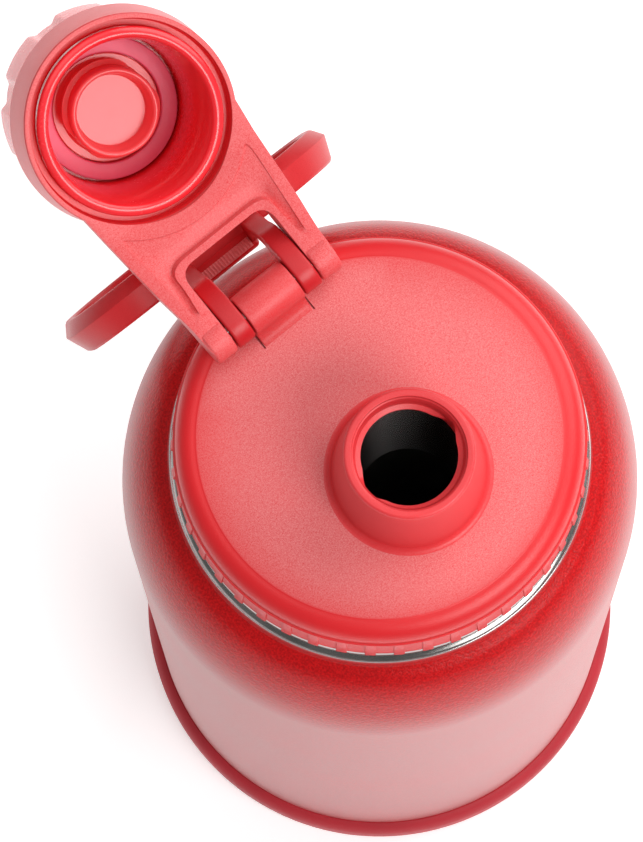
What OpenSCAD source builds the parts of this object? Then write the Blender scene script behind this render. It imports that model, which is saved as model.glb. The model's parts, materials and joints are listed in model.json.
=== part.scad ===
// Insulated steel bottle with a screw lid, a threaded pour spout,
// a twist cap carried on a hinged arm, and a swinging carry handle.
// Origin: centre of the base, on the bottle's axis. +Z is up, the spout
// is towards -Y and the hinge towards +Y. The cap arm is drawn fully open.

/* [Bottle] */
// Outer radius of the straight wall
body_r = 45.5; // [43:0.5:50]
// Height where the straight wall ends and the shoulder begins
wall_top = 173; // [140:1:230]
// Height of the shoulder curve
shoulder_h = 27; // [22:1:32]
// Outer radius of the neck
neck_r = 36.1; // [35.6:0.1:36.6]
// Thickness of the outer steel shell
shell_t = 0.9; // [0.6:0.1:1.2]
// Thickness of the inner steel liner
liner_t = 0.8; // [0.6:0.1:1.0]
// Inner radius of the mouth
mouth_r = 32.4; // [32.2:0.1:32.6]

/* [Boot] */
// Outer radius of the base boot
boot_r = 47.8; // [47:0.1:50]
// Height of the base boot
boot_h = 11; // [8:0.5:16]

/* [Lid] */
// Radius of the lid's upper edge
lid_r = 34.7; // [34.2:0.1:35]
// Width of the smooth rounded border
lid_round = 3.6; // [2.5:0.1:4.5]
// Number of grip ribs around the skirt
rib_count = 45; // [24:1:60]
// Lead of the lid thread
lid_lead = 4; // [3.5:0.1:4.5]

/* [Spout] */
// Distance from the hinge axis to the spout axis
arm_len = 37.45; // [37:0.05:38]
// Height of the spout above the lid
spout_h = 19; // [17:0.5:20]
// Radius of the spout where it meets the lid
spout_base_r = 12.9; // [12.5:0.1:13]
// Radius of the spout at its rim
spout_rim_r = 10.9; // [10.5:0.1:11]
// Radius of the spout's bore
spout_bore_r = 8.9; // [8.8:0.05:9]

/* [Cap and arm] */
// How far the cap rises as it is unscrewed, one full turn
cap_lead = 7; // [6.5:0.1:7.2]
// Number of lobes on the cap's grip
lobe_count = 8; // [6:1:12]
// How far the arm stands open from closed, in degrees
arm_open = 154; // [150:1:156]
// Width of the arm across its two legs
arm_w = 26.8; // [25.6:0.1:28]

/* [Handle] */
// Overall width of the handle loop
loop_w = 56.6; // [54:0.2:60]
// Overall height of the handle loop
loop_h = 37; // [34:0.5:38]
// Lean of the hanging loop away from the bottle, in degrees
loop_lean = 12; // [10:0.5:14]

/* [Hidden] */
$fn = 96;
blend_fn = 32;
e = 0.01;

// Bottle: height of the foot, the rim and the liner's floor, and the room left for the vacuum
foot_z = 2.6;
rim_z = 207.5;
shoulder_top = wall_top + shoulder_h;
liner_z = 12;
vacuum_gap = 3.4;
liner_r = body_r - vacuum_gap - liner_t;

// Lid: heights of its parts, and its thread
lid_top = 221;
lid_edge_z = lid_top - lid_round;
skirt_z = 209;
skirt_r = 35.3;
skirt_t = 2;
lid_t = 2.2;
core_floor_z = 190;
core_r = 30.6;
core_t = 1.8;
thread_h = 1.3;
lid_thread_z = 193.5;

// Cap thread's first turn below the spout's rim, and the tube that lines the spout up to it
cap_thread_depth = 5.2;
lining_depth = 7.6;
lining_t = 1;

// Hinge axis and spout axis
hinge_y = 29.8;
hinge_z = lid_top + 4.1;
spout_y = hinge_y - arm_len;
spout_top = lid_top + spout_h;

// Hinge stack along X, from the middle outwards
knuckle_r = 3.8;
pin_r = 1.2;
lid_knuckle = 5.2;
handle_in = 5.5;
handle_out = 8.95;
leg_in = 9.25;
leg_out = arm_w / 2;

// Cap sizes, as heights above the hinge axis with the cap screwed down
cap_seat = spout_top - hinge_z + 0.04;
cap_rim = lid_top - hinge_z + 1.3;
cap_skirt_r = 15.4;
cap_bore_r = 13.9;
ring_front = 4.4;
lip_front = 6.8;
lip_back = 8.2;
ring_back = 13.4;
ring_bore_r = 15.8;
ring_seat_r = 17.9;
grip_bottom = 8.5;
grip_r = 17.5;
cap_top = cap_seat + 6.6;
gasket_t = 2;
plug_tip = cap_seat - 6.2;
plug_r = 7.7;

// Near edge and top of the bridge between the handle's struts
bridge_y = hinge_y + 10.2;
bridge_z = hinge_z - 12;

shell_red = [0.72, 0.08, 0.11];
plastic_red = [0.93, 0.22, 0.25];

// Points along a quarter ellipse from (cx + a, cz) to (cx, cz + b)
function arc(cx, cz, a, b, from = 0, to = 90, n = 18) =
    [for (i = [0 : n]) let (t = from + (to - from) * i / n) [cx + a * cos(t), cz + b * sin(t)]];

// Outline of the shell's outside, moved inwards by d
function wall_line(d) = concat([[body_r - d, foot_z]],
    arc(neck_r - d, wall_top, body_r - neck_r, shoulder_h - d));

// Outline of the liner's outside, moved inwards by d
function liner_line(d) = concat([[liner_r + liner_t - d, liner_z]],
    arc(mouth_r + liner_t - d, wall_top - 6, liner_r - mouth_r, shoulder_h - 1 - d));

// Helical ridge: lead, turns, inner and outer radius, widths at both
module ridge(lead, turns, r0, r1, w0, w1, starts = 1, per_turn = 36) {
    n = ceil(turns * per_turn);
    side = r1 > r0 ? -1 : 1;
    ring = [[r0, -side * w0 / 2], [r1, -side * w1 / 2], [r1, side * w1 / 2], [r0, side * w0 / 2]];
    for (s = [0 : starts - 1]) rotate([0, 0, 360 * s / starts])
        polyhedron(
            points = [for (i = [0 : n]) let (a = 360 * turns * i / n, z = lead * turns * i / n)
                for (p = ring) [p[0] * cos(a), p[0] * sin(a), z + p[1]]],
            faces = concat([[0, 1, 2, 3]],
                [for (i = [0 : n - 1], k = [0 : 3]) let (a = 4 * i + k, b = 4 * i + (k + 1) % 4)
                    [a, a + 4, b + 4, b]],
                [[4 * n + 3, 4 * n + 2, 4 * n + 1, 4 * n]]));
}

// Moves children from the closed arm's frame, centred on the hinge, to the open arm
module on_open_arm() {
    translate([0, hinge_y, hinge_z]) rotate([-arm_open, 0, 0]) children();
}

// Moves children to the cap's axis, lifted off the spout by one turn of its thread
module on_cap() {
    on_open_arm() translate([0, -arm_len, cap_lead]) children();
}

module round_bar(w, h, r) {
    square([w - 2 * r, h], center = true);
    square([w, h - 2 * r], center = true);
    for (x = [-1, 1], y = [-1, 1]) translate([x * (w / 2 - r), y * (h / 2 - r)]) circle(r);
}

// Painted steel shell: wall, shoulder and neck, turned in at the rim to meet the liner
module outer_shell() {
    lip_in = mouth_r + liner_t + 0.02;
    rim_round = 0.6;
    color(shell_red) rotate_extrude() {
        difference() {
            polygon(concat([[0, foot_z]], wall_line(0), [[0, shoulder_top]]));
            polygon(concat([[0, foot_z - 1], [body_r - shell_t, foot_z - 1]], wall_line(shell_t),
                [[neck_r - shell_t, shoulder_top + 1], [0, shoulder_top + 1]]));
        }
        translate([neck_r - shell_t, shoulder_top - 1.2]) square([shell_t, rim_z - shoulder_top + 0.2]);
        difference() {
            translate([lip_in, rim_z - 1]) square([neck_r - lip_in, 1]);
            translate([neck_r - rim_round, rim_z - rim_round]) difference() {
                square(rim_round + 0.1);
                circle(rim_round);
            }
        }
    }
}

// Steel base, welded inside the wall and dished around the sealing dimple
module base_disc() {
    r = body_r - shell_t - 0.03;
    disc_t = 1;
    boss_r = 14;
    dimple_r = 4;
    color("silver") rotate_extrude() difference() {
        union() {
            translate([0, foot_z]) square([r, disc_t]);
            translate([r - 0.9, foot_z]) square([0.9, 4]);
            translate([0, foot_z + 0.6]) square([boss_r, 1.6]);
        }
        translate([-e, foot_z - 0.6]) square([dimple_r, 1.8]);
        translate([-e, foot_z - 0.6]) square([boss_r - 1.5, 1.4]);
    }
}

// Steel liner: the inner bottle, with the lid's thread formed in its neck
module inner_liner() {
    neck_z = wall_top - 7 + shoulder_h;
    color("gainsboro") union() {
        rotate_extrude() {
            difference() {
                polygon(concat([[0, liner_z]], liner_line(0), [[0, neck_z]]));
                polygon(concat([[0, liner_z - 1], [liner_r, liner_z - 1]], liner_line(liner_t),
                    [[mouth_r, neck_z + 1], [0, neck_z + 1]]));
            }
            translate([mouth_r, neck_z - liner_t]) square([liner_t, rim_z - neck_z + liner_t]);
        }
        translate([0, 0, lid_thread_z + lid_lead / 2])
            ridge(lid_lead, 1.5, mouth_r + 0.3, mouth_r - thread_h, 1.8, 0.8);
    }
}

// Bottom of the liner, a shallow cup welded inside its wall
module liner_base() {
    r = liner_r - 0.03;
    color("gainsboro") rotate_extrude() {
        translate([0, liner_z]) square([r, liner_t]);
        translate([r - liner_t, liner_z]) square([liner_t, 4]);
    }
}

// Getter pill that keeps the vacuum, fixed under the liner
module getter() {
    pill_h = 2.5;
    color("dimgray") translate([22, 0, liner_z - pill_h - 0.03]) cylinder(r = 5, h = pill_h);
}

// Drop of glass sealing the evacuation hole in the base
module vacuum_seal() {
    color("darkslategray") translate([0, 0, foot_z + 0.1]) cylinder(r = 3.9, h = 1.08);
}

// Soft boot pushed over the foot of the bottle
module base_boot() {
    bead = 3;
    floor_t = 2.5;
    hole_r = 16;
    color([0.78, 0.11, 0.15]) rotate_extrude() difference() {
        union() {
            square([boot_r - bead, boot_h]);
            translate([0, bead]) square([boot_r, boot_h - 2 * bead]);
            for (z = [bead, boot_h - bead]) translate([boot_r - bead, z]) circle(bead);
        }
        translate([-e, floor_t]) square([body_r + 0.03 + e, boot_h]);
        translate([-e, -e]) square([hole_r, floor_t + 1]);
        // Shallow ring underneath, so that the boot stands on its edges
        translate([hole_r + 4, -e]) square([18, 0.8]);
    }
}

// Lid moulding: textured top, rounded border, ribbed skirt and hinge knuckle
module lid_shell() {
    flat_r = lid_r - lid_round;
    rib_w = 1.5;
    skirt_flare = atan((skirt_r - lid_r) / (lid_edge_z - skirt_z));
    fillet = 2;
    color(plastic_red) difference() {
        union() {
            rotate_extrude() difference() {
                polygon(concat([[0, skirt_z], [skirt_r, skirt_z]],
                    arc(flat_r, lid_edge_z, lid_round, lid_round), [[0, lid_top]]));
                polygon([[0, skirt_z - 1], [skirt_r - skirt_t, skirt_z - 1], [lid_r - skirt_t, lid_edge_z],
                    [flat_r, lid_top - lid_t], [0, lid_top - lid_t]]);
            }
            // Ribs lean with the flared skirt
            for (i = [0 : rib_count - 1]) rotate([0, 0, 360 * (i + 0.5) / rib_count])
                translate([0, skirt_r - 0.6, skirt_z]) rotate([skirt_flare, 0, 0])
                    translate([-rib_w / 2, 0, 0]) cube([rib_w, 1, lid_edge_z - skirt_z - 0.3]);
            // Middle knuckle, filleted into the lid's top
            translate([0, hinge_y, hinge_z]) rotate([90, 0, 90])
                translate([0, 0, -lid_knuckle]) linear_extrude(2 * lid_knuckle) {
                circle(knuckle_r);
                polygon(concat([[2.6, lid_top - hinge_z - 1], [-knuckle_r - fillet, lid_top - hinge_z - 1]],
                    arc(-knuckle_r - fillet, lid_top - hinge_z + fillet, fillet, fillet, -90, 0, 6),
                    [[-knuckle_r, 0], [2.6, 0]]));
            }
        }
        translate([0, hinge_y, hinge_z]) rotate([0, 90, 0])
            cylinder(r = pin_r + 0.03, h = 30, center = true);
        translate([0, spout_y, lid_top - 4]) cylinder(r = spout_base_r - 1, h = 5);
        // Relief slits beside the knuckle
        for (s = [-1, 1]) translate([s * (lid_knuckle + 0.15), hinge_y - 4.2, lid_top])
            cube([0.3, 3.4, 1.2], center = true);
    }
}

// Threaded cup under the lid, bonded to it, with the tube that lines the spout
module lid_core() {
    floor_t = 2;
    color([0.16, 0.12, 0.12]) difference() {
        union() {
            rotate_extrude() {
                difference() {
                    translate([0, core_floor_z]) square([core_r, 20]);
                    translate([-e, core_floor_z + floor_t]) square([core_r - core_t, 20]);
                }
                translate([core_r - core_t, skirt_z + 0.1]) square([skirt_r - core_r - 0.4, 1.6]);
            }
            translate([0, 0, lid_thread_z]) ridge(lid_lead, 2, core_r - 0.3, core_r + thread_h, 1.8, 0.8);
            translate([0, spout_y, core_floor_z])
                cylinder(r = spout_bore_r + lining_t, h = spout_top - lining_depth - core_floor_z);
        }
        translate([0, spout_y, core_floor_z - 1])
            cylinder(r = spout_bore_r, h = spout_top - core_floor_z);
    }
}

// Pour spout: a tapered tube with a rolled rim and a two-start thread in its bore
module pour_spout() {
    rim_round = 1;
    tube_z = core_floor_z + 2.02;
    tube_r = spout_base_r - 1.03;
    lined_r = spout_bore_r + lining_t + 0.03;
    lined_z = spout_top - lining_depth + 0.03;
    color(plastic_red) translate([0, spout_y, 0]) union() {
        rotate_extrude()
            polygon(concat([[spout_bore_r, lined_z], [lined_r, lined_z], [lined_r, tube_z],
                [tube_r, tube_z],
                [tube_r, lid_top + 0.01], [spout_base_r, lid_top + 0.01],
                [spout_rim_r + 0.15, spout_top - 2.2]],
                arc(spout_rim_r - rim_round, spout_top - rim_round, rim_round, rim_round, 0, 90, 8),
                arc(spout_bore_r + 0.5, spout_top - 0.5, 0.5, 0.5, 90, 180, 5)));
        translate([0, 0, spout_top - cap_thread_depth])
            ridge(cap_lead, 0.5, spout_bore_r + 0.3, spout_bore_r - 0.8, 1.5, 0.6, 2);
    }
}

// Insulation inside the lid, around the spout
module lid_foam() {
    color("ivory") translate([0, 0, core_floor_z + 2.05]) difference() {
        cylinder(r = core_r - core_t - 0.05, h = lid_top - lid_t - core_floor_z - 2.1);
        translate([0, spout_y, -1]) cylinder(r = spout_base_r - 0.95, h = 40);
    }
}

// Silicone ring between the lid and the bottle's rim
module lid_seal() {
    color([0.85, 0.85, 0.83]) translate([0, 0, rim_z + 0.04]) difference() {
        cylinder(r = neck_r - 1.3, h = skirt_z - rim_z - 0.08);
        translate([0, 0, -1]) cylinder(r = core_r + 0.12, h = 4);
    }
}

// Steel pin through the lid, handle and arm knuckles
module hinge_pin() {
    color("silver") translate([0, hinge_y, hinge_z]) rotate([0, 90, 0])
        cylinder(r = pin_r, h = arm_w - 2.4, center = true);
}

// Hinged arm: two legs, a window, a sunken panel and the sleeve that holds the cap
module hinge_arm() {
    window_top = 12.9;
    window_end = 8;
    web_r = 1.6;
    shoulder_x = 15.6;
    color(plastic_red) on_open_arm() difference() {
        union() {
            // Legs around the pin, running up to the sleeve
            for (s = [-1, 1]) hull() {
                translate([s * (leg_in + leg_out) / 2, 0, 0]) rotate([0, 90, 0])
                    cylinder(r = knuckle_r - 0.1, h = leg_out - leg_in, center = true, $fn = blend_fn);
                translate([s * shoulder_x, -arm_len + 6, ring_front + 1.9]) sphere(2.4, $fn = 16);
            }
            // Web between the legs
            hull() for (s = [-1, 1]) {
                translate([s * (leg_out - 2), -5.6, -0.4]) sphere(web_r, $fn = 16);
                translate([s * (shoulder_x - 1), -arm_len + 9, ring_front + 1.4]) sphere(web_r, $fn = 16);
                translate([s * 6, -arm_len + 17, ring_front]) sphere(web_r, $fn = 16);
            }
            translate([0, -arm_len, 0]) rotate_extrude()
                polygon([[12, ring_front], [17.8, ring_front], [18.2, ring_front + 0.5],
                    [18.9, ring_back - 0.5], [18.6, ring_back], [12, ring_back]]);
        }
        // Sleeve: front recess, retaining lip and the seat that the grip slides in
        translate([0, -arm_len, -5]) cylinder(r = ring_seat_r - 0.5, h = lip_front + 5);
        translate([0, -arm_len, -5]) cylinder(r = ring_bore_r, h = 40);
        translate([0, -arm_len, lip_back]) cylinder(r = ring_seat_r, h = 20);
        // Window as wide as the gap between the legs
        translate([0, (window_end - window_top) / 2, -8]) linear_extrude(24)
            round_bar(2 * leg_in, window_end + window_top, 3);
        rotate([0, 90, 0]) cylinder(r = pin_r + 0.03, h = 2 * leg_out - 2.4, center = true);
    }
}

// Cap: smooth skirt with a rounded rim, closed top and a lobed grip
module cap_shell() {
    rim_round = 0.8;
    top_round = 1.5;
    notch_r = 4.2;
    notch_depth = 1;
    color(plastic_red) on_cap() difference() {
        rotate_extrude() {
            polygon(concat([[0, cap_rim + 1], [cap_skirt_r, cap_rim + 1],
                [cap_skirt_r, grip_bottom], [grip_r, grip_bottom]],
                arc(grip_r - top_round, cap_top - top_round, top_round, top_round, 0, 90, 6),
                [[0, cap_top]]));
            translate([cap_skirt_r - rim_round, cap_rim + rim_round]) circle(rim_round);
            translate([ring_bore_r - 0.5, cap_rim + rim_round]) circle(rim_round - 0.05);
        }
        for (i = [0 : lobe_count - 1]) rotate([0, 0, 360 * i / lobe_count])
            translate([grip_r - notch_depth + notch_r, 0, grip_bottom - 1]) cylinder(r = notch_r, h = 20);
        translate([0, 0, cap_rim - 1]) cylinder(r = cap_bore_r, h = cap_seat + gasket_t - cap_rim + 1.06);
        translate([0, 0, cap_seat + gasket_t - 1]) cylinder(r = 6.2, h = 2.6);
    }
}

// Hollow threaded plug that closes the spout's bore
module cap_plug() {
    flange_top = cap_seat + gasket_t + 0.03;
    color([0.97, 0.45, 0.47]) on_cap() union() {
        rotate_extrude() polygon(concat([[0, plug_tip + 3.6], [5.9, plug_tip + 3.6], [6.3, plug_tip + 3],
            [6.3, plug_tip + 0.5]],
            arc(plug_r - 0.6, plug_tip + 0.6, 0.6, -0.6, 90, 0, 5),
            [[plug_r, cap_seat + 0.9], [9.4, cap_seat + 0.9], [9.4, flange_top], [6.1, flange_top],
            [6.1, flange_top + 1.2], [0, flange_top + 1.2]]));
        translate([0, 0, spout_top - hinge_z - cap_thread_depth + cap_lead / 4])
            ridge(cap_lead, 0.45, plug_r - 0.3, plug_r + 0.85, 1.5, 0.6, 2);
    }
}

// Translucent silicone washer under the cap's top
module cap_gasket() {
    color([0.75, 0.4, 0.5]) on_cap() translate([0, 0, cap_seat]) difference() {
        cylinder(r = 12.4, h = gasket_t);
        translate([0, 0, -1]) cylinder(r = 9.45, h = 4);
    }
}

// Side outline of a handle strut, from the pin out over the lid's edge and down
module strut_side() {
    circle(knuckle_r);
    polygon([[0, 3.8], [0, -1.2], [7.2, -0.6], [10.2, -4.6], [10.2, -16.5], [16.6, -17.8],
        [15.6, -10], [11, -4], [8.8, 1], [4, 3.4]]);
}

// Carry handle: two struts on the pin, a bridge between them and a hanging loop
module carry_handle() {
    bar_d = 6.4;
    bar_t = 3.3;
    bar_round = 15;
    color([0.85, 0.15, 0.2]) difference() {
        union() {
            for (s = [-1, 1]) translate([s * (handle_in + handle_out) / 2, hinge_y, hinge_z])
                rotate([90, 0, 90]) linear_extrude(handle_out - handle_in, center = true) strut_side();
            translate([-handle_in - 1, bridge_y, bridge_z - 2.4]) cube([2 * handle_in + 2, 4, 2.4]);
            translate([0, hinge_y + 14.4, hinge_z - 10.2]) rotate([loop_lean, 0, 0])
                translate([0, bar_d / 2 - 1.6, -loop_h / 2])
                rotate([90, 0, 0]) linear_extrude(bar_d, center = true) difference() {
                    round_bar(loop_w, loop_h, bar_round);
                    translate([0, -0.4])
                        round_bar(loop_w - 2 * bar_t, loop_h - 2 * bar_t - 1.2, bar_round - bar_t);
                }
        }
        translate([0, hinge_y, hinge_z]) rotate([0, 90, 0])
            cylinder(r = pin_r + 0.06, h = 30, center = true);
    }
}

// Soft ribbed strip set on the bridge between the struts
module handle_pad() {
    rib_pitch = 1.2;
    strip_t = 0.4;
    color([0.55, 0.08, 0.1]) translate([0, bridge_y + 0.3, bridge_z + 0.02]) {
        translate([-handle_in + 0.3, 0, 0]) cube([2 * handle_in - 0.6, 1.8, strip_t]);
        for (i = [-4 : 4]) translate([i * rib_pitch - 0.3, 0, 0]) cube([0.6, 1.8, 2 * strip_t]);
    }
}

outer_shell();
base_disc();
inner_liner();
liner_base();
getter();
vacuum_seal();
base_boot();
lid_shell();
lid_core();
pour_spout();
lid_foam();
lid_seal();
hinge_pin();
hinge_arm();
cap_shell();
cap_plug();
cap_gasket();
carry_handle();
handle_pad();
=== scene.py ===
import json
import math

import bmesh
import bpy
from mathutils import Matrix, Vector


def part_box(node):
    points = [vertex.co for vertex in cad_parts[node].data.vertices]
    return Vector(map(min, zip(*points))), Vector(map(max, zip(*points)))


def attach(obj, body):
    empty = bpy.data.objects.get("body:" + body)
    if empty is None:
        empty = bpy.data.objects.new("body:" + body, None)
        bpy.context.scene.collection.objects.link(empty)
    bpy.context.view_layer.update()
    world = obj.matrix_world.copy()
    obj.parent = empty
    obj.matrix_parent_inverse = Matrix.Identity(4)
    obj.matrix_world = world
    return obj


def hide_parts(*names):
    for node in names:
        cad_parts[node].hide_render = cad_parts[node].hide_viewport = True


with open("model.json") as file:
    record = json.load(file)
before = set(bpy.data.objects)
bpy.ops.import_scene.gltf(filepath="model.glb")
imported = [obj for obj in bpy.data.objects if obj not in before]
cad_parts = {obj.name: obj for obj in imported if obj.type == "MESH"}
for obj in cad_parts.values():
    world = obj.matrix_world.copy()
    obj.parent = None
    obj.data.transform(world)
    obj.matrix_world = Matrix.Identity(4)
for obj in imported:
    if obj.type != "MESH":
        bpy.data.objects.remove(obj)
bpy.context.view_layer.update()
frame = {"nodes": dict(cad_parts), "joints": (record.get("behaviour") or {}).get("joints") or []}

# ---------------------------------------------------------------------------
# Camera, floor and lights: a steep view from above the front left of the
# bottle with a long lens, over a pale floor in soft studio light.
# ---------------------------------------------------------------------------
VIEW_AZIMUTH = math.radians(-35.87)
VIEW_ELEVATION = math.radians(80.5)
VIEW_ROLL = math.radians(-3.46)
VIEW_DISTANCE = 0.9217
VIEW_AIM = Vector((-0.0059, 0.0083, 0.221))
VIEW_LENS = 234.0

back = Vector((math.sin(VIEW_AZIMUTH) * math.cos(VIEW_ELEVATION),
               -math.cos(VIEW_AZIMUTH) * math.cos(VIEW_ELEVATION), math.sin(VIEW_ELEVATION)))
camera = bpy.data.objects.new("camera", bpy.data.cameras.new("camera"))
camera.data.lens = VIEW_LENS
camera.data.sensor_width = 36.0
camera.location = VIEW_AIM + back * VIEW_DISTANCE
camera.rotation_euler = (back.to_track_quat("Z", "Y").to_matrix()
                         @ Matrix.Rotation(VIEW_ROLL, 3, "Z")).to_euler()
bpy.context.collection.objects.link(camera)
bpy.context.scene.camera = camera
bpy.context.scene.view_settings.view_transform = "Standard"


def soft_light(name, place, aim, size, power):
    lamp = bpy.data.objects.new(name, bpy.data.lights.new(name, "AREA"))
    lamp.data.shape = "DISK"
    lamp.data.size = size
    lamp.data.energy = power
    lamp.location = place
    lamp.rotation_euler = (Vector(place) - Vector(aim)).to_track_quat("Z", "Y").to_euler()
    bpy.context.collection.objects.link(lamp)


soft_light("key_light", (1.05, 0.05, 1.0), (0, 0, 0.18), 1.4, 12)
soft_light("front_light", (0.12, -0.80, 1.05), (0, 0, 0.22), 0.7, 8)
soft_light("top_light", (0.0, 0.35, 1.7), (0, 0, 0.2), 1.2, 4)

world = bpy.data.worlds.new("studio")
world.use_nodes = True
world.node_tree.nodes["Background"].inputs["Color"].default_value = (1, 1, 1, 1)
world.node_tree.nodes["Background"].inputs["Strength"].default_value = 0.28
bpy.context.scene.world = world

floor_bm = bmesh.new()
bmesh.ops.create_circle(floor_bm, cap_ends=True, segments=64, radius=3.0)
floor_mesh = bpy.data.meshes.new("floor")
floor_bm.to_mesh(floor_mesh)
floor = bpy.data.objects.new("floor", floor_mesh)
bpy.context.collection.objects.link(floor)


# ---------------------------------------------------------------------------
# Wall: a drawn steel shell with a straight side, a round shoulder and a
# short neck, powder coated after forming. The coat stops on the neck, where
# the lid's skirt comes down to.
# ---------------------------------------------------------------------------
class Wire:
    """One shader value: a socket that takes Python's operators."""

    def __init__(self, tree, socket):
        self.tree = tree
        self.socket = socket

    def node(self, kind, settings=None, outputs=0, **inputs):
        made = self.tree.nodes.new(kind)
        for key, value in (settings or {}).items():
            setattr(made, key, value)
        for key, value in inputs.items():
            slot = made.inputs[int(key[1:]) if key[0] == "_" else key.replace("_", " ")]
            if isinstance(value, Wire):
                self.tree.links.new(value.socket, slot)
            else:
                slot.default_value = value
        return Wire(self.tree, made.outputs[outputs])

    def maths(self, operation, *values):
        pairs = {"_%d" % i: v for i, v in enumerate(values)}
        return self.node("ShaderNodeMath", {"operation": operation}, **pairs)

    def __add__(self, other):
        return self.maths("ADD", self, other)

    __radd__ = __add__

    def __sub__(self, other):
        return self.maths("SUBTRACT", self, other)

    def __rsub__(self, other):
        return self.maths("SUBTRACT", other, self)

    def __mul__(self, other):
        return self.maths("MULTIPLY", self, other)

    def ramp(self, low, high):
        """0 below low, 1 above high, smooth between them."""
        return self.node("ShaderNodeMapRange", {"interpolation_type": "SMOOTHSTEP"},
                         Value=self, From_Min=low, From_Max=high)

    def mix(self, colour_a, colour_b):
        """colour_a where this is 0, colour_b where it is 1."""
        return self.node("ShaderNodeMix", {"data_type": "RGBA"}, 2, _0=self,
                         _6=colour_a, _7=colour_b)


def rgb(red, green, blue):
    return (red, green, blue, 1.0)


def new_finish(name):
    """A material, its Principled shader, and Object coordinates as a Wire."""
    made = bpy.data.materials.new(name)
    made.use_nodes = True
    tree = made.node_tree
    shader = tree.nodes["Principled BSDF"]
    place = Wire(tree, tree.nodes.new("ShaderNodeTexCoord").outputs["Object"])
    return made, shader, place


def noise(place, scale, detail, rough=0.5):
    return place.node("ShaderNodeTexNoise", None, 0, Vector=place, Scale=scale, Detail=detail,
                      Roughness=rough)


def drive(shader, **inputs):
    """Sets or links the Principled shader's sockets."""
    for key, value in inputs.items():
        slot = shader.inputs[key.replace("_", " ")]
        if isinstance(value, Wire):
            value.tree.links.new(value.socket, slot)
        else:
            slot.default_value = value


def bump(height, distance, strength):
    return height.node("ShaderNodeBump", None, 0, Height=height, Distance=distance, Strength=strength)


def arc(centre_r, centre_z, a, b, start, stop, steps):
    """Points on an elliptical arc, with angles in degrees from the +r direction."""
    angles = [math.radians(start + (stop - start) * i / steps) for i in range(steps + 1)]
    return [(centre_r + a * math.cos(t), centre_z + b * math.sin(t)) for t in angles]


def verts_of(geom):
    return [g for g in geom if isinstance(g, bmesh.types.BMVert)]


def edges_of(geom):
    return [g for g in geom if isinstance(g, bmesh.types.BMEdge)]


def draw_line(bm, points, closed=True):
    """New vertices at the points, and the edges that join them in turn."""
    made = [bm.verts.new(point) for point in points]
    ends = made[1:] + made[:1] if closed else made[1:]
    return made, [bm.edges.new(pair) for pair in zip(made, ends)]


def round_edges(bm, edges, reach, segments, clamp=False):
    """Rounds edges off, and returns the new vertices."""
    return bmesh.ops.bevel(bm, geom=edges, offset=reach, segments=segments, affect="EDGES",
                           profile=0.5, material=-1, clamp_overlap=clamp)["verts"]


def edges_round(verts, wanted):
    """The edges at some vertices that pass a test."""
    return [e for e in {e for v in verts for e in v.link_edges} if wanted(e)]


def still_there(verts, added):
    """A part's vertices after its edges were rounded."""
    return list({v for v in verts if v.is_valid} | set(added))


def turned(outline, steps=144, closed=True):
    """A shape turned about Z from its outline of (radius, height) points."""
    bm = bmesh.new()
    ring, edges = draw_line(bm, [(max(r, 0.0), 0, z) for r, z in outline], closed)
    bmesh.ops.spin(bm, geom=ring + edges, cent=(0, 0, 0), axis=(0, 0, 1), angle=2 * math.pi,
                   steps=steps, use_merge=True, use_duplicate=False)
    bmesh.ops.remove_doubles(bm, verts=bm.verts, dist=1e-4)
    bmesh.ops.recalc_face_normals(bm, faces=bm.faces)
    return bm


def make_piece(name, bm, body, finish, replaced=(), move=Matrix.Identity(4), sharp=32):
    """Places a mesh built in millimetres, and gives it its body and finish."""
    bmesh.ops.transform(bm, matrix=Matrix.Scale(0.001, 4) @ move, verts=bm.verts)
    bmesh.ops.recalc_face_normals(bm, faces=bm.faces)
    mesh = bpy.data.meshes.new(name)
    bm.to_mesh(mesh)
    bm.free()
    mesh.shade_smooth()
    mesh.set_sharp_from_angle(angle=math.radians(sharp))
    mesh.materials.append(finish)
    piece = bpy.data.objects.new(name, mesh)
    bpy.context.collection.objects.link(piece)
    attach(piece, body)
    if replaced:
        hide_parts(*replaced)
    return piece


def box_mm(node):
    """A CAD node's lowest and highest corners, in millimetres."""
    low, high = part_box(node)
    return low * 1000, high * 1000


wall_r = box_mm("outer_shell")[1].x
rim_z = box_mm("outer_shell")[1].z
boot_top = box_mm("base_boot")[1].z
neck_r = 36.1
shoulder_z = 173.0
neck_z = 200.0
coat_end_z = 203.6
shell_t = 0.9
foot_z = 2.8


def powder_coat():
    made, shader, place = new_finish("powder_coat")
    peel = noise(place, 1100.0, 3.0, 0.6)
    speck = noise(place, 2600.0, 2.0)
    wander = noise(place, 22.0, 3.0)
    tone = (wander * 0.25 + speck * 0.75).ramp(0.32, 0.68)
    # Painted reflection: toward grazing angles the red is mixed toward a pale pinkish grey, standing in for
    # the pale surroundings reflected in the satin coat.
    painted_grazing_sheen = place.node("ShaderNodeLayerWeight", None, "Facing", Blend=0.5).ramp(0.62, 0.96) * 0.34
    drive(shader, Base_Color=painted_grazing_sheen.mix(tone.mix(rgb(0.40, 0.002, 0.004), rgb(0.66, 0.006, 0.008)),
                                      rgb(0.54, 0.44, 0.44)),
          Roughness=0.27 + wander * 0.06 + speck * 0.08,
          Normal=bump(peel * 0.6 + speck * 0.4, 0.00022, 0.8), Specular_IOR_Level=0.22)
    return made


def studio_floor():
    made, shader, place = new_finish("floor_paper")
    fibre = noise(place, 400.0, 4.0)
    drive(shader, Base_Color=fibre.ramp(0.3, 0.7).mix(rgb(0.93, 0.93, 0.93), rgb(0.94, 0.94, 0.94)),
          Roughness=0.75 + fibre * 0.1, Specular_IOR_Level=0.2,
          Emission_Color=rgb(1.0, 1.0, 1.0), Emission_Strength=0.42)
    return made


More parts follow.
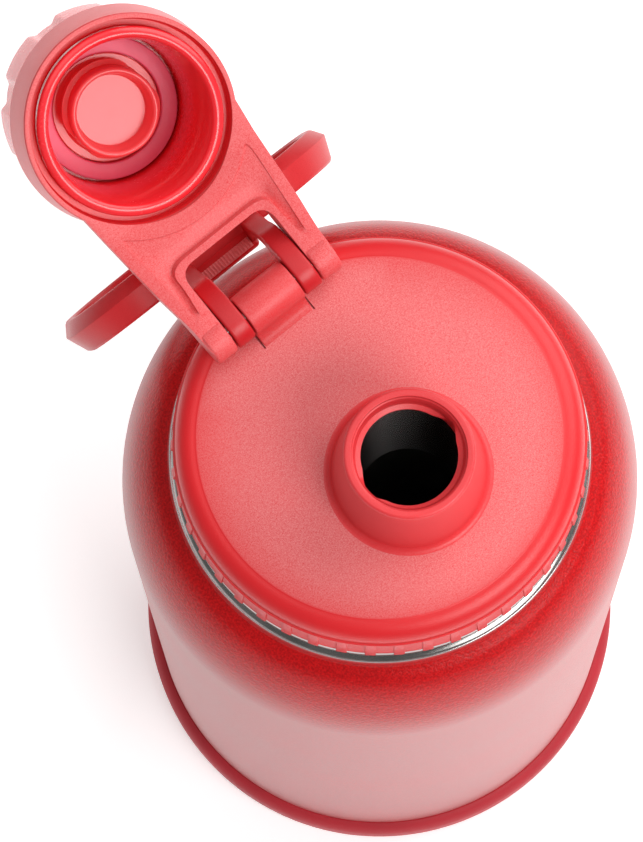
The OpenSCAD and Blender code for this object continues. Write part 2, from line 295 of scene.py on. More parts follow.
floor.data.materials.append(studio_floor())
powder = powder_coat()
seam_z = coat_end_z - 0.3
outer = ([(wall_r, foot_z), (wall_r, shoulder_z)]
         + arc(neck_r, shoulder_z, wall_r - neck_r, neck_z - shoulder_z, 0, 82, 24)[1:]
         + [(neck_r + 0.5, neck_z + 0.3), (neck_r + 0.12, neck_z + 1.2), (neck_r + 0.05, seam_z)])
inner = [(r - shell_t, z) for r, z in reversed(outer) if z < coat_end_z - 1]
make_piece("bottle_wall", turned(outer + [(neck_r - shell_t, seam_z)] + inner, 192),
           "bottle", powder, ["outer_shell"])


# ---------------------------------------------------------------------------
# Neck rim: the top of the steel neck, left bare above a turned edge where the
# coat stops. The shell is rolled in over the liner, welded and brushed smooth.
# ---------------------------------------------------------------------------
mouth_r = 32.4
collar_r = 35.2
rim_round = 0.8
lip_depth = 3.2


def brushed_steel():
    made, shader, place = new_finish("bare_steel")
    stretched = place.node("ShaderNodeMapping", None, 0, Vector=place, Scale=(30.0, 30.0, 1800.0))
    lines = noise(stretched, 1.0, 3.0)
    stain = noise(place, 60.0, 3.0)
    drive(shader, Base_Color=stain.ramp(0.3, 0.7).mix(rgb(0.46, 0.45, 0.44), rgb(0.62, 0.61, 0.60)),
          Metallic=1.0, Roughness=0.08 + lines * 0.10 + stain * 0.04,
          Normal=bump(lines, 0.00004, 0.4))
    return made


steel = brushed_steel()
bead_r = 0.2
rim_outline = ([(neck_r - shell_t, seam_z), (neck_r + 0.08, seam_z)]
               + arc(neck_r + 0.08 - bead_r, coat_end_z - 0.12, bead_r, bead_r, 0, 90, 5)
               + [(collar_r + 0.2, coat_end_z - 0.1), (collar_r, coat_end_z + 0.2),
                  (collar_r, rim_z - rim_round)]
               + arc(collar_r - rim_round, rim_z - rim_round, rim_round, rim_round, 0, 90, 8)
               + arc(mouth_r + 1.7, rim_z - 0.9, 0.9, 0.9, 90, 180, 6)
               + [(mouth_r + 0.8, rim_z - lip_depth), (collar_r - shell_t, rim_z - lip_depth)])
make_piece("neck_rim", turned(rim_outline, 192), "bottle", steel)


# ---------------------------------------------------------------------------
# Boot: a soft rubber cup pushed over the foot of the bottle, which stands
# proud of the wall as a rounded bumper and has a shallow ring underneath.
# ---------------------------------------------------------------------------
boot_r = box_mm("base_boot")[1].x
boot_floor = 2.5
ring_depth = 0.8
ring_in, ring_out = 20.0, 38.0


def boot_rubber():
    made, shader, place = new_finish("boot_rubber")
    grain = noise(place, 1900.0, 2.0)
    smear = noise(place, 45.0, 4.0)
    low = place.node("ShaderNodeSeparateXYZ", None, 2, Vector=place).ramp(0.0045, 0.0005)
    # Darker in random smears, and darker towards the bottom of the boot.
    smears_and_low_darkening = (smear.ramp(0.45, 0.75) * 0.35 + low * 0.4)
    drive(shader, Base_Color=smears_and_low_darkening.mix(rgb(0.50, 0.012, 0.025), rgb(0.30, 0.015, 0.020)),
          Roughness=0.48 + grain * 0.12 + smear * 0.08, Normal=bump(grain, 0.00008, 0.5))
    return made


rubber = boot_rubber()
bead = 3.2
boot_outline = ([(ring_in - 4, 0.6), (ring_in - 3, 0), (ring_in - 0.6, 0), (ring_in, ring_depth),
                 (ring_out, ring_depth), (ring_out + 0.6, 0), (boot_r - bead, 0)]
                + arc(boot_r - bead, bead, bead, bead, -90, 0, 10)
                + arc(boot_r - bead, boot_top - bead, bead, bead, 0, 78, 10)
                + [(wall_r + 0.25, boot_top - 0.02), (wall_r + 0.05, boot_top - 0.35),
                   (wall_r + 0.03, boot_floor), (ring_in - 4, boot_floor)])
make_piece("boot", turned(boot_outline, 160), "bottle", rubber, ["base_boot"])


# ---------------------------------------------------------------------------
# Lid: one moulding with a spark-eroded top face, a smooth rolled border over a
# narrow ledge, a ribbed skirt for grip and the middle knuckle of the hinge.
# ---------------------------------------------------------------------------
hinge = next(j for j in frame["joints"] if j["name"] == "arm_hinge")
hinge_y, hinge_z = hinge["pos_m"][1] * 1000, hinge["pos_m"][2] * 1000
lid_top = 221.0
lid_r = 34.7
lid_t = 2.2
border = 3.6
ring_z = lid_top - border
skirt_z = 209.0
skirt_r = 35.3
knuckle_r = 3.8
RIBS = 45
rib_w = 1.75
rib_out = 0.8
rib_gap = 0.7


def moulded(name, body_colour, grain_sheen_colour, rough, grain, face_r=None):
    """Moulded polypropylene with a fine eroded grain, kept to a flat face of a radius if one is given. The
    grain's lighter colour is painted sheen, for the light that the eroded grain scatters.
    """
    made, shader, place = new_finish(name)
    sand = noise(place, 6000.0, 2.0, 0.6)
    coarse = noise(place, 3200.0, 1.0)
    cloud = noise(place, 35.0, 3.0)
    # Painted sheen: the grain is mixed toward a lighter colour, standing in for the light that the eroded
    # grain scatters.
    grain_and_sheen = (sand * 0.7 + coarse * 0.3).ramp(0.22, 0.74) * grain
    if face_r is not None:
        facing = place.node("ShaderNodeNewGeometry", None, "Normal")
        upward = place.node("ShaderNodeSeparateXYZ", None, 2, Vector=facing)
        flat = place.node("ShaderNodeVectorMath", {"operation": "MULTIPLY"}, 0, _0=place, _1=(1, 1, 0))
        radius = place.node("ShaderNodeVectorMath", {"operation": "LENGTH"}, 1, _0=flat)
        grain_and_sheen = grain_and_sheen * (1 - radius.ramp(face_r - 0.0005, face_r + 0.0002)) * upward.ramp(0.97, 0.995)
    plain = cloud.ramp(0.3, 0.7).mix(body_colour, tuple(c * 0.88 for c in body_colour[:3]) + (1,))
    drive(shader, Base_Color=grain_and_sheen.mix(plain, grain_sheen_colour),
          Roughness=rough + grain_and_sheen * 0.30 + cloud * 0.05, Normal=bump(sand, 0.00008, 0.35))
    return made


lid_red = rgb(0.80, 0.014, 0.020)
# Painted sheen: the grain's pale colour stands in for light scattered by the eroded top face.
lid_grain_sheen = rgb(0.88, 0.33, 0.33)
lid_finish = moulded("lid_plastic", lid_red, lid_grain_sheen, 0.32, 0.8, (lid_r - border) / 1000)
ledge_r = lid_r + 0.3
hem = 0.5
lid_path = ([(lid_r - border - 0.15, lid_top), (lid_r - border, lid_top - 0.06)]
            + arc(lid_r - border, ring_z, border, border - 0.1, 88, 4, 14)
            + [(lid_r + 0.02, ring_z + 0.02), (ledge_r - 0.02, ring_z)]
            + arc(ledge_r - 0.04, ring_z - 0.12, 0.12, 0.12, 80, 0, 4)
            + [(ledge_r, ring_z - 0.5), (lid_r - 0.12, ring_z - rib_gap), (skirt_r - 0.05, skirt_z + hem)]
            + arc(skirt_r - hem, skirt_z + hem, hem, hem, 0, -90, 5)
            + [(skirt_r - 2, skirt_z), (lid_r - 2.2, ring_z), (lid_r - border, lid_top - lid_t)])
lid_bm = turned(lid_path, 192, closed=False)

# The spout comes up through a hole in front of the lid's middle
cap_turn = next(j for j in frame["joints"] if j["name"] == "cap_turn")
arm_len = math.hypot(cap_turn["pos_m"][1] * 1000 - hinge_y, cap_turn["pos_m"][2] * 1000 - hinge_z)
spout_y = hinge_y - arm_len
spout_hole_r = 12.0


def circle(radius, centre_y, z):
    """Points round a circle that lies level."""
    angles = [2 * math.pi * i / 96 for i in range(96)]
    return [(radius * math.cos(t), centre_y + radius * math.sin(t), z) for t in angles]


# Two fine relief slits run out from the sides of the hinge knuckle
slit_in, slit_w, slit_depth = 5.2, 0.3, 0.8
slit_near, slit_far = hinge_y - 5.9, hinge_y - 2.5
slit_walls = []
hole_rims = []
for z in (lid_top, lid_top - lid_t):
    around = [e for e in lid_bm.edges if e.is_boundary and abs(e.verts[0].co.z - z) < 0.02]
    hole = draw_line(lid_bm, circle(spout_hole_r, spout_y, z))[1]
    if z == lid_top:
        for side in (-1, 1):
            x_in, x_out = side * slit_in, side * (slit_in + slit_w)
            corners = [(x_in, slit_near, z), (x_out, slit_near, z), (x_out, slit_far, z), (x_in, slit_far, z)]
            slit_walls.append(draw_line(lid_bm, corners)[1])
    slits = [e for walls in slit_walls for e in walls] if z == lid_top else []
    bmesh.ops.triangle_fill(lid_bm, use_beauty=True, edges=around + hole + slits)
    hole_rims += hole
bmesh.ops.bridge_loops(lid_bm, edges=hole_rims)
for walls in slit_walls:
    grown = bmesh.ops.extrude_edge_only(lid_bm, edges=walls)["geom"]
    bmesh.ops.translate(lid_bm, vec=(0, 0, -slit_depth), verts=verts_of(grown))
    bmesh.ops.contextual_create(lid_bm, geom=[e for e in edges_of(grown) if e.is_boundary])

# The ribs lean out to the skirt's foot, and their tops slope away under the ledge
rib_len = ring_z - rib_gap - skirt_z
for i in range(RIBS):
    made = bmesh.ops.create_cube(lid_bm, size=1)["verts"]
    bmesh.ops.scale(lid_bm, vec=(1.0, rib_w, rib_len), verts=made)
    for v in made:
        if v.co.z < 0:
            v.co.y *= 1.1
            v.co.x += rib_out
        elif v.co.x > 0:
            v.co.x -= 0.1
            v.co.z -= 0.35
    outside = edges_round(made, lambda e: all(v.co.x > 0 for v in e.verts))
    made = still_there(made, round_edges(lid_bm, outside, 0.22, 2))
    bmesh.ops.translate(lid_bm, vec=(lid_r - 0.33, 0, (skirt_z + ring_z) / 2 - 0.35), verts=made)
    bmesh.ops.rotate(lid_bm, cent=(0, 0, 0), matrix=Matrix.Rotation(2 * math.pi * (i + 0.5) / RIBS, 3, "Z"),
                     verts=made)
make_piece("lid_top", lid_bm, "lid", lid_finish, ["lid_shell"])


def slab(outline, width, reach):
    """A plate with its outline in the YZ plane, centred on X, with rounded edges."""
    bm = bmesh.new()
    face = bm.faces.new([bm.verts.new((-width / 2, y, z)) for y, z in outline])
    grown = bmesh.ops.extrude_face_region(bm, geom=[face])["geom"]
    bmesh.ops.translate(bm, vec=(width, 0, 0), verts=verts_of(grown))
    bmesh.ops.recalc_face_normals(bm, faces=bm.faces)
    sides = [e for e in bm.edges if abs(e.verts[0].co.x - e.verts[1].co.x) < 1e-6]
    round_edges(bm, sides, reach, 3, clamp=True)
    return bm


knuckle_finish = moulded("knuckle_plastic", lid_red, lid_grain_sheen, 0.34, 0.3)
fillet_y = -5.75
root_z = -5.2
knuckle_outline = (arc(0, 0, knuckle_r, knuckle_r, -50, 190, 40)
                   + arc(fillet_y, -2.1, 2.0, 1.96, -5, -90, 8)
                   + [(fillet_y, root_z), (2.6, root_z)])
make_piece("lid_knuckle", slab(knuckle_outline, 2 * slit_in, 0.3), "lid", knuckle_finish,
           move=Matrix.Translation((0, hinge_y, hinge_z)))


# ---------------------------------------------------------------------------
# Pour spout: a smooth tapered tube set in the lid, with a flat rim, and a
# coarse two-start thread in its bore for the cap. Below it the bore is lined by
# the lid's inside, made near-black as painted shade for the dark depth of the bore.
# ---------------------------------------------------------------------------
cap_rise = 7.0
thread_root, thread_crest, thread_depth = 1.5, 0.6, 0.8
thread_steps = 48
run_out = 8
spout_top = box_mm("pour_spout")[1].z
spout_foot = box_mm("pour_spout")[0].z
spout_base_r = 12.9
spout_rim_r = 10.9
bore_r = 8.9
# Painted shade: below this height the bore shows the lid's near-black inside, for the dark depth of the bore.
dark_bore_top = spout_top - 7.6
dark_bore_r = bore_r + 1.03
tube_r = spout_base_r - 1.1
spout_outline = ([(bore_r, dark_bore_top), (dark_bore_r, dark_bore_top), (dark_bore_r, spout_foot),
                  (tube_r, spout_foot), (tube_r, lid_top - 1)]
                 + arc(spout_base_r + 1.5, lid_top + 1.5, 1.35, 1.5, 268, 185, 7)
                 + [(spout_rim_r + 0.12, spout_top - 2.0)]
                 + arc(spout_rim_r - 0.5, spout_top - 0.6, 0.6, 0.6, 8, 90, 7)
                 + arc(bore_r + 0.85, spout_top - 0.15, 0.15, 0.15, 90, 180, 3)
                 + [(bore_r + 0.66, spout_top - 0.6), (bore_r + 0.45, spout_top - 0.72),
                    (bore_r + 0.1, spout_top - 1.5), (bore_r, spout_top - 2.0)])
spout_bm = turned(spout_outline, 144)


def thread(bm, root_r, crest_r, start_z, turns, at_angle):
    """A helical ridge with run-out ends, added to a mesh. It points in or out by its radii."""
    section = [(root_r, 0, start_z - thread_root / 2), (crest_r, 0, start_z - thread_crest / 2),
               (crest_r, 0, start_z + thread_crest / 2), (root_r, 0, start_z + thread_root / 2)]
    ring, edges = draw_line(bm, section)
    bmesh.ops.rotate(bm, cent=(0, 0, 0), matrix=Matrix.Rotation(at_angle, 3, "Z"), verts=ring)
    steps = int(thread_steps * turns)
    before = set(bm.verts)
    bm.faces.new(ring)
    made = bmesh.ops.spin(bm, geom=ring + edges, cent=(0, 0, 0), axis=(0, 0, 1),
                          dvec=(0, 0, cap_rise * turns / steps), angle=2 * math.pi * turns, steps=steps,
                          use_merge=False, use_duplicate=False)["geom_last"]
    bmesh.ops.contextual_create(bm, geom=edges_of(made))
    for v in ring + [v for v in bm.verts if v not in before]:
        angle = (math.atan2(v.co.y, v.co.x) - at_angle + 0.01) % (2 * math.pi) - 0.01
        turn = angle / (2 * math.pi * turns)
        grow = min(1.0, 0.05 + run_out * max(turn, 0.0), 0.05 + run_out * max(1 - turn, 0.0))
        radius = math.hypot(v.co.x, v.co.y)
        wanted = root_r + (radius - root_r) * grow
        v.co.x *= wanted / radius
        v.co.y *= wanted / radius


for start in (0, math.pi):
    thread(spout_bm, bore_r + 0.3, bore_r - thread_depth, spout_top - 5.2, 0.5, start)
spout_finish = moulded("spout_plastic", rgb(0.84, 0.022, 0.030), lid_grain_sheen, 0.30, 0.12)
make_piece("spout", spout_bm, "lid", spout_finish, ["pour_spout"],
           move=Matrix.Translation((0, spout_y, 0)))


# ---------------------------------------------------------------------------
# Hinge arm: one moulding with two legs on the pin, a window with a raised
# lip, a sunken panel, and a sleeve that holds the cap so that it can turn.
# ---------------------------------------------------------------------------
arm_open = math.radians(hinge["range_deg"][1])
open_arm = (Matrix.Translation((0, hinge_y, hinge_z)) @ Matrix.Rotation(-arm_open, 4, "X"))
leg_out = 13.4
leg_in = 9.25
barrel_r = 3.75
window_top = -12.9
groove_end = -5.6
kink = -23.0
land_h = 4.4
sleeve_back = 13.4
lip_front, lip_back = 6.8, 8.2
recess_r = 17.4
lip_r = 15.8
seat_r = 17.9

sleeve_outline = [(recess_r, land_h + 0.5), (recess_r + 0.25, land_h + 0.1), (18.0, land_h + 0.05),
                  (18.3, land_h + 0.35), (18.9, sleeve_back - 0.6), (18.75, sleeve_back - 0.15),
                  (18.4, sleeve_back), (seat_r, sleeve_back), (seat_r, lip_back), (lip_r + 0.3, lip_back),
                  (lip_r, lip_back - 0.3), (lip_r, lip_front + 0.3), (lip_r + 0.3, lip_front),
                  (recess_r - 0.4, lip_front), (recess_r - 0.1, lip_front - 0.3)]


def smooth_path(points, closed):
    """An outline of (x, y, reach) corners, each replaced by a curve of that reach."""
    steps = 6
    made = []
    for i, (x, y, reach) in enumerate(points):
        here = Vector((x, y))
        if not closed and i in (0, len(points) - 1):
            made.append((x, y))
            continue
        last, following = Vector(points[i - 1][:2]), Vector(points[(i + 1) % len(points)][:2])
        a = here + (last - here).normalized() * min(reach, (last - here).length * 0.49)
        b = here + (following - here).normalized() * min(reach, (following - here).length * 0.49)
        for t in [j / steps for j in range(steps + 1)]:
            made.append(tuple(a * (1 - t) ** 2 + here * 2 * t * (1 - t) + b * t * t))
    return made


def even_steps(points, count):
    """The same open path, as a number of points at equal distances."""
    path = [Vector(p) for p in points]
    reach = [0.0]
    for a, b in zip(path, path[1:]):
        reach.append(reach[-1] + (b - a).length)
    made = []
    i = 0
    for k in range(count):
        wanted = reach[-1] * k / (count - 1)
        while i < len(path) - 2 and reach[i + 1] < wanted:
            i += 1
        share = (wanted - reach[i]) / (reach[i + 1] - reach[i])
        made.append(path[i].lerp(path[i + 1], min(share, 1.0)))
    return made


def ring_points(radius, start, stop, steps):
    """Points on a circle about the cap's axis, by angle from the hinge side, in degrees."""
    angles = [math.radians(start + (stop - start) * i / steps) for i in range(steps + 1)]
    return [(radius * math.sin(t), -arm_len + radius * math.cos(t)) for t in angles]


def add_loop(bm, points):
    return draw_line(bm, [(x, y, 0) for x, y in points])[1]


def leg_share(y):
    """0 from the cap to the kink, then rising to 1 at the pin."""
    return min(1.0, max(0.0, (y - kink) / -kink))


def face_height(y):
    """Height of the arm's front face: level round the cap, sloping to the legs' front."""
    return land_h - (land_h + 3.55) * leg_share(y)


def back_height(y):
    """Height of the arm's back face, which keeps the arm's thickness along the slope."""
    t = leg_share(y)
    return (land_h + 3.4) * (1 - t) + 3.6 * t


# The panel: rows of edges from the window's lip out to the panel's edge, joined up
arm_bm = bmesh.new()
lip_line = even_steps(smooth_path([(-11.0, groove_end, 0), (-10.4, -10.0, 1), (-10.3, -14.1, 4),
                                   (10.3, -14.1, 4), (10.4, -10.0, 1), (11.0, groove_end, 0)], False), 90)
far_line = even_steps(smooth_path([(-11.9, groove_end, 0), (-13.6, -21.5, 2.5)]
                                  + [(x, y, 0) for x, y in ring_points(20.0, -41, 41, 24)]
                                  + [(13.6, -21.5, 2.5), (11.9, groove_end, 0)], False), 90)
rows = []
for share in (0.0, 0.035, 0.1, 0.2, 0.32, 0.5, 0.75, 0.965, 1.0):
    row = []
    for near, far in zip(lip_line, far_line):
        spot = near.lerp(far, share)
        away = (spot - near).length
        sunk = 0.0 if share in (0.0, 1.0) else 0.22 + 1.1 * math.exp(-(away / 2.2) ** 2)
        row.append((spot.x, spot.y, sunk * min(1.0, (groove_end - spot.y) / 1.5)))
    rows.append(draw_line(arm_bm, row, closed=False)[1])
for near, far in zip(rows, rows[1:]):
    bmesh.ops.bridge_loops(arm_bm, edges=near + far)
panel_edges = [e for e in arm_bm.edges if e.is_boundary]

# The land round it, then the back, and rounded edges between them
touch = 63.5
outline = (smooth_path([(leg_out, 0.8, 0.6), (leg_in, 0.8, 0.4), (leg_in, window_top, 3.0),
                        (-leg_in, window_top, 3.0), (-leg_in, 0.8, 0.4), (-leg_out, 0.8, 0.6),
                        (-leg_out - 0.3, -5.0, 1.5), (-leg_out - 1.1, -10.6, 1.5)]
                       + [(x, y, 0.3) for x, y in ring_points(18.2, -touch, -360 + touch, 90)]
                       + [(leg_out + 1.1, -10.6, 1.5), (leg_out + 0.3, -5.0, 1.5)], True))
bmesh.ops.triangle_fill(arm_bm, use_beauty=True, edges=panel_edges + add_loop(arm_bm, outline)
                        + add_loop(arm_bm, ring_points(recess_r + 0.05, 0, 360 - 3.75, 95)))
bmesh.ops.remove_doubles(arm_bm, verts=arm_bm.verts, dist=1e-4)
bmesh.ops.bisect_plane(arm_bm, geom=arm_bm.verts[:] + arm_bm.edges[:] + arm_bm.faces[:], dist=1e-4,
                       plane_co=(0, kink, 0), plane_no=(0, 1, 0))
for v in arm_bm.verts:
    v.co.z += face_height(v.co.y)
rim_edges = [e for e in arm_bm.edges if e.is_boundary]
grown = bmesh.ops.extrude_edge_only(arm_bm, edges=rim_edges)["geom"]
for v in verts_of(grown):
    v.co.z = back_height(v.co.y)
back_edges = [e for e in arm_bm.edges if e.is_boundary]
bmesh.ops.triangle_fill(arm_bm, use_beauty=True, edges=back_edges)
bmesh.ops.recalc_face_normals(arm_bm, faces=arm_bm.faces)
round_edges(arm_bm, rim_edges + back_edges, 0.45, 3, clamp=True)

# A round barrel on the pin at the end of each leg
for side in (-1, 1):
    made = bmesh.ops.create_cone(arm_bm, cap_ends=True, segments=64, radius1=barrel_r, radius2=barrel_r,
                                 depth=leg_out - leg_in)["verts"]
    ends = edges_round(made, lambda e: abs(e.verts[0].co.z - e.verts[1].co.z) < 1e-4)
    made = still_there(made, round_edges(arm_bm, ends, 0.5, 3))
    bmesh.ops.rotate(arm_bm, cent=(0, 0, 0), matrix=Matrix.Rotation(math.pi / 2, 3, "Y"), verts=made)
    bmesh.ops.translate(arm_bm, vec=(side * (leg_out + leg_in) / 2, 0, 0), verts=made)
arm_finish = moulded("arm_plastic", lid_red, rgb(0.90, 0.28, 0.28), 0.34, 0.6)
make_piece("arm_frame", arm_bm, "arm", arm_finish, ["hinge_arm"], open_arm)
sleeve_bm = turned(sleeve_outline, 144)
sleeve_finish = moulded("sleeve_plastic", rgb(0.88, 0.014, 0.022), lid_grain_sheen, 0.28, 0.1)
make_piece("arm_sleeve", sleeve_bm, "arm", sleeve_finish,
           move=open_arm @ Matrix.Translation((0, -arm_len, 0)))


# ---------------------------------------------------------------------------
# Twist cap: a deep cup with a rounded rim that snaps through the sleeve, and
# a grip with shallow notches on the far side, moulded in glossy plastic.
# ---------------------------------------------------------------------------
open_cap = open_arm @ Matrix.Translation((0, -arm_len, cap_rise))
cap_seat = spout_top - hinge_z + 0.04
cap_rim = lid_top - hinge_z + 1.3
cap_top = cap_seat + 6.6
skirt_out = 15.4
grip_r = 17.4
grip_from = 8.5
NOTCHES = 8
notch_depth = 1.0


def glossy(name, colour, deep, rough=0.2, coat=0.4):
    made, shader, place = new_finish(name)
    cloud = noise(place, 60.0, 3.0)
    fine = noise(place, 1600.0, 2.0)
    drive(shader, Base_Color=cloud.ramp(0.3, 0.7).mix(deep, colour),
          Roughness=rough + cloud * 0.08 + fine * 0.05, Normal=bump(fine, 0.00003, 0.3),
          Coat_Weight=coat, Coat_Roughness=0.06)
    return made


cap_finish = glossy("cap_plastic", rgb(0.98, 0.022, 0.034), rgb(0.90, 0.016, 0.026))
grip_start = grip_from + 0.6
cap_outline = ([(12.75, cap_seat + 2.05), (13.4, cap_rim + 4.0), (14.0, cap_rim + 1.4)]
               + arc(14.9, cap_rim + 0.9, 0.85, 0.9, 195, 285, 8)
               + arc(15.3, cap_rim + 0.8, 0.75, 0.75, -60, 60, 8)
               + [(skirt_out, cap_rim + 1.6), (skirt_out, grip_from)]
               + [(grip_r - 0.9, grip_from), (grip_r - 0.3, grip_from + 0.25), (grip_r, grip_start + 0.4)]
               + [(grip_r, grip_start + 1.5 * i) for i in range(1, 5)]
               + arc(grip_r - 2.2, cap_top - 2.2, 2.2, 2.2, 0, 90, 8)
               + [(0, cap_top), (0, cap_seat + 2.05)])
cap_bm = turned(cap_outline, 320)
for v in cap_bm.verts:
    radius = math.hypot(v.co.x, v.co.y)
    if radius > skirt_out + 0.8 and v.co.z > grip_from - 0.1:
        phase = (math.atan2(v.co.y, v.co.x) * NOTCHES / (2 * math.pi) + 0.5) % 1.0
        notch = math.exp(-((phase - 0.5) / 0.18) ** 6)
        cut = notch_depth * notch * min(1.0, (radius - skirt_out - 0.3) / 1.2)
        v.co.x *= 1 - cut / radius
        v.co.y *= 1 - cut / radius
make_piece("twist_cap", cap_bm, "cap", cap_finish, ["cap_shell"], open_cap, 40)


# ---------------------------------------------------------------------------
# Cap plug: a hollow plug with a coarse two-start thread, welded to the cap.
# Its end is recessed and polished.
# ---------------------------------------------------------------------------
plug_r = 7.7
plug_tip = cap_seat - 6.2
plug_outline = ([(0, plug_tip + 3.6), (6.0, plug_tip + 3.6), (6.15, plug_tip + 3.4), (6.6, plug_tip + 0.7)]
                + arc(7.15, plug_tip + 0.6, 0.53, 0.6, 180, 360, 10)
                + [(plug_r, plug_tip + 1.2), (plug_r, cap_seat + 0.5), (8.0, cap_seat + 0.85),
                   (9.2, cap_seat + 0.9), (9.4, cap_seat + 1.1), (9.4, cap_seat + 2.0), (0, cap_seat + 2.0)])
plug_bm = turned(plug_outline, 128)
for start in (0, math.pi):
    thread(plug_bm, plug_r - 0.3, plug_r + 0.85, cap_seat - 3.49, 0.45, start)
plug_finish = glossy("plug_plastic", rgb(0.90, 0.09, 0.10), rgb(0.86, 0.07, 0.08), 0.16, 0.0)
make_piece("plug", plug_bm, "cap", plug_finish, ["cap_plug"], open_cap)


# ---------------------------------------------------------------------------
# Cap gasket: a washer of milky silicone round the plug, which seals on the
# spout's rim.
# ---------------------------------------------------------------------------
def silicone(name, colour, deep):
    made, shader, place = new_finish(name)
    cloud = noise(place, 90.0, 3.0)
    fine = noise(place, 1400.0, 2.0)
    drive(shader, Base_Color=cloud.ramp(0.3, 0.7).mix(deep, colour),
          Roughness=0.38 + fine * 0.12, Normal=bump(fine, 0.00005, 0.4),
          Subsurface_Weight=0.25, Subsurface_Radius=(0.004, 0.002, 0.002), Subsurface_Scale=1.0)
    return made


gasket_finish = silicone("gasket_silicone", rgb(0.95, 0.14, 0.25), rgb(0.88, 0.11, 0.21))
gasket_in, gasket_out, gasket_round = 9.5, 12.4, 0.3
gasket_low = cap_seat + gasket_round
gasket_outline = (arc(gasket_out - gasket_round, gasket_low, gasket_round, gasket_round, 0, -90, 4)
                  + arc(gasket_in + gasket_round, gasket_low, gasket_round, gasket_round, -90, -180, 4)
                  + [(gasket_in, cap_seat + 2.0), (gasket_out, cap_seat + 2.0)])
make_piece("cap_washer", turned(gasket_outline, 128), "cap_washer", gasket_finish, ["cap_gasket"],
           open_cap)


# ---------------------------------------------------------------------------
# Carry handle: a moulded loop with a crowned outer face, on two struts that
# turn on the hinge pin between the lid's knuckle and the arm's legs.
# ---------------------------------------------------------------------------
strut_in, strut_out = 5.5, 8.95
loop_w, loop_h = 56.6, 37.0
loop_corner = 15.0
loop_depth = 6.6
loop_lean = math.radians(12)
loop_y = hinge_y + 14.4
loop_top = hinge_z - 10.2
handle_finish = moulded("handle_plastic", rgb(0.60, 0.010, 0.016), rgb(0.76, 0.035, 0.040), 0.30, 0.3)

strut_outline = (arc(0, 0, knuckle_r, knuckle_r, 92, 300, 30)
                 + [(5.6, -1.6), (8.2, -2.6), (9.9, -4.6), (10.5, -7.4), (11.0, -12.5), (12.0, -14.2),
                    (16.0, -14.6), (16.4, -12.6), (15.4, -10.0), (13.0, -6.8), (11.0, -4.0), (10.0, -1.6),
                    (8.6, 1.0), (4.5, 3.3)])
strut_bm = slab(strut_outline, strut_out - strut_in, 0.4)
half = (strut_in + strut_out) / 2
bmesh.ops.translate(strut_bm, vec=(half, 0, 0), verts=strut_bm.verts)
bmesh.ops.mirror(strut_bm, geom=strut_bm.verts[:] + strut_bm.edges[:] + strut_bm.faces[:], axis="X",
                 merge_dist=1e-5)
make_piece("handle_struts", strut_bm, "handle", handle_finish,
           move=Matrix.Translation((0, hinge_y, hinge_z)))

# The loop: a crowned section spun round each corner and drawn along each side
crown = [(-3.3, -2.0), (-2.9, -1.55), (0.7, -0.1), (0.95, 0.0), (1.2, -0.12), (3.0, -1.35), (3.3, -1.75),
         (3.3, -2.9), (3.0, -3.3), (-3.0, -3.3), (-3.3, -2.9)]
loop_bm = bmesh.new()
flat_x, flat_z = loop_w / 2 - loop_corner, loop_h / 2 - loop_corner
ends, edges = draw_line(loop_bm, [(loop_w / 2 + out, depth, flat_z) for depth, out in crown])
for cx, cz, step in ((flat_x, flat_z, (-2 * flat_x, 0, 0)), (-flat_x, flat_z, (0, 0, -2 * flat_z)),
                     (-flat_x, -flat_z, (2 * flat_x, 0, 0)), (flat_x, -flat_z, (0, 0, 2 * flat_z))):
    spun = bmesh.ops.spin(loop_bm, geom=ends + edges, cent=(cx, 0, cz), axis=(0, -1, 0), angle=math.pi / 2,
                          steps=14, use_merge=False, use_duplicate=False)["geom_last"]
    grown = bmesh.ops.extrude_edge_only(loop_bm, edges=edges_of(spun))["geom"]
    ends = verts_of(grown)
    edges = [e for e in edges_of(grown) if all(v in ends for v in e.verts)]
    bmesh.ops.translate(loop_bm, vec=step, verts=ends)
bmesh.ops.remove_doubles(loop_bm, verts=loop_bm.verts, dist=1e-3)
loop_place = (Matrix.Translation((0, loop_y, loop_top)) @ Matrix.Rotation(loop_lean, 4, "X")
              @ Matrix.Translation((0, loop_depth / 2 - 1.7, -loop_h / 2)))
make_piece("handle_loop", loop_bm, "handle", handle_finish, ["carry_handle"], loop_place, 24)


# ---------------------------------------------------------------------------
# Handle bridge: a round-cornered bar between the struts, which carries a soft
# strip with fine cross ribs where it meets the lid.
# ---------------------------------------------------------------------------
bridge_y, bridge_z = hinge_y + 10.2, hinge_z - 12.0
bridge_d, bridge_t = 4.0, 2.4
bridge_bm = bmesh.new()
made = bmesh.ops.create_cube(bridge_bm, size=1)["verts"]
bmesh.ops.scale(bridge_bm, vec=(2 * strut_in + 2.0, bridge_d, bridge_t), verts=made)
round_edges(bridge_bm, bridge_bm.edges[:], 0.7, 4)
make_piece("handle_bridge", bridge_bm, "handle", handle_finish,
           move=Matrix.Translation((0, bridge_y + bridge_d / 2, bridge_z - bridge_t / 2)))

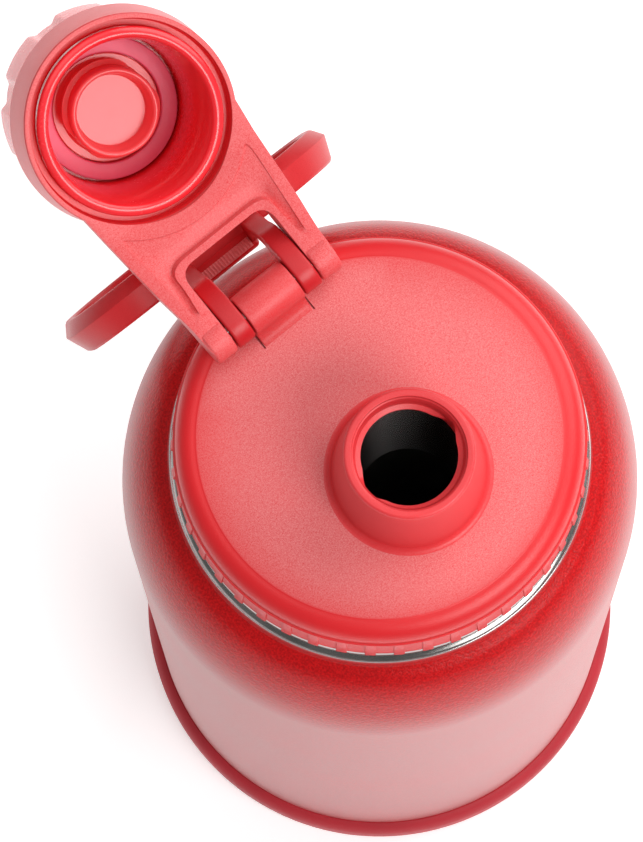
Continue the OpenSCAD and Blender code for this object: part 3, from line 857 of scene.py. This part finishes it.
strip_bm = bmesh.new()
strip_w, strip_d, strip_t = 2 * strut_in - 0.6, 1.8, 0.4
fine_rib_r, fine_rib_pitch = 0.17, 0.6
FINE_RIBS = 17
made = bmesh.ops.create_cube(strip_bm, size=1)["verts"]
bmesh.ops.scale(strip_bm, vec=(strip_w, strip_d, strip_t), verts=made)
bmesh.ops.translate(strip_bm, vec=(0, 0, strip_t / 2), verts=made)
for i in range(FINE_RIBS):
    made = bmesh.ops.create_cone(strip_bm, cap_ends=True, segments=12, radius1=fine_rib_r,
                                 radius2=fine_rib_r, depth=strip_d)["verts"]
    bmesh.ops.rotate(strip_bm, cent=(0, 0, 0), matrix=Matrix.Rotation(math.pi / 2, 3, "X"), verts=made)
    bmesh.ops.translate(strip_bm, vec=(fine_rib_pitch * (i - FINE_RIBS // 2), 0, strip_t + 0.05), verts=made)
strip_finish = moulded("strip_rubber", rgb(0.80, 0.20, 0.20), rgb(0.90, 0.40, 0.40), 0.5, 0.6)
make_piece("handle_ribs", strip_bm, "handle", strip_finish, ["handle_pad"],
           Matrix.Translation((0, bridge_y + 0.3 + strip_d / 2, bridge_z + 0.02)))


# ---------------------------------------------------------------------------
# Hidden metal and plastic: the liner, base, hinge pin and the lid's inside
# keep their imported shapes and get the finish of what they are made of. The
# lid's inside, which lines the spout's bore, is near-black instead: painted shade
# for the dark depth of the bore.
# ---------------------------------------------------------------------------
def finish_nodes(finish, *names):
    for name in names:
        node = frame["nodes"][name]
        node.data.materials.clear()
        node.data.materials.append(finish)


def foam():
    made, shader, place = new_finish("white_foam")
    cells = place.node("ShaderNodeTexVoronoi", None, "Distance", Vector=place, Scale=900.0)
    drive(shader, Base_Color=cells.ramp(0.0, 0.6).mix(rgb(0.70, 0.68, 0.60), rgb(0.86, 0.84, 0.78)),
          Roughness=0.8 + cells * 0.1, Normal=bump(cells, 0.0001, 0.5))
    return made


finish_nodes(steel, "inner_liner", "liner_base", "base_disc", "hinge_pin", "getter")
# Painted shade: near-black glossy plastic on the lid's inside, standing in for the shade deep in the spout's
# bore.
bore_shade_finish = glossy("bore_shade_plastic", rgb(0.040, 0.018, 0.016), rgb(0.026, 0.012, 0.010), 0.12, 0.6)
finish_nodes(bore_shade_finish, "lid_core")
finish_nodes(silicone("seal_silicone", rgb(0.62, 0.60, 0.58), rgb(0.50, 0.49, 0.47)), "lid_seal")
finish_nodes(foam(), "lid_foam")
finish_nodes(glossy("sealing_glass", rgb(0.05, 0.07, 0.07), rgb(0.03, 0.04, 0.04), 0.1), "vacuum_seal")
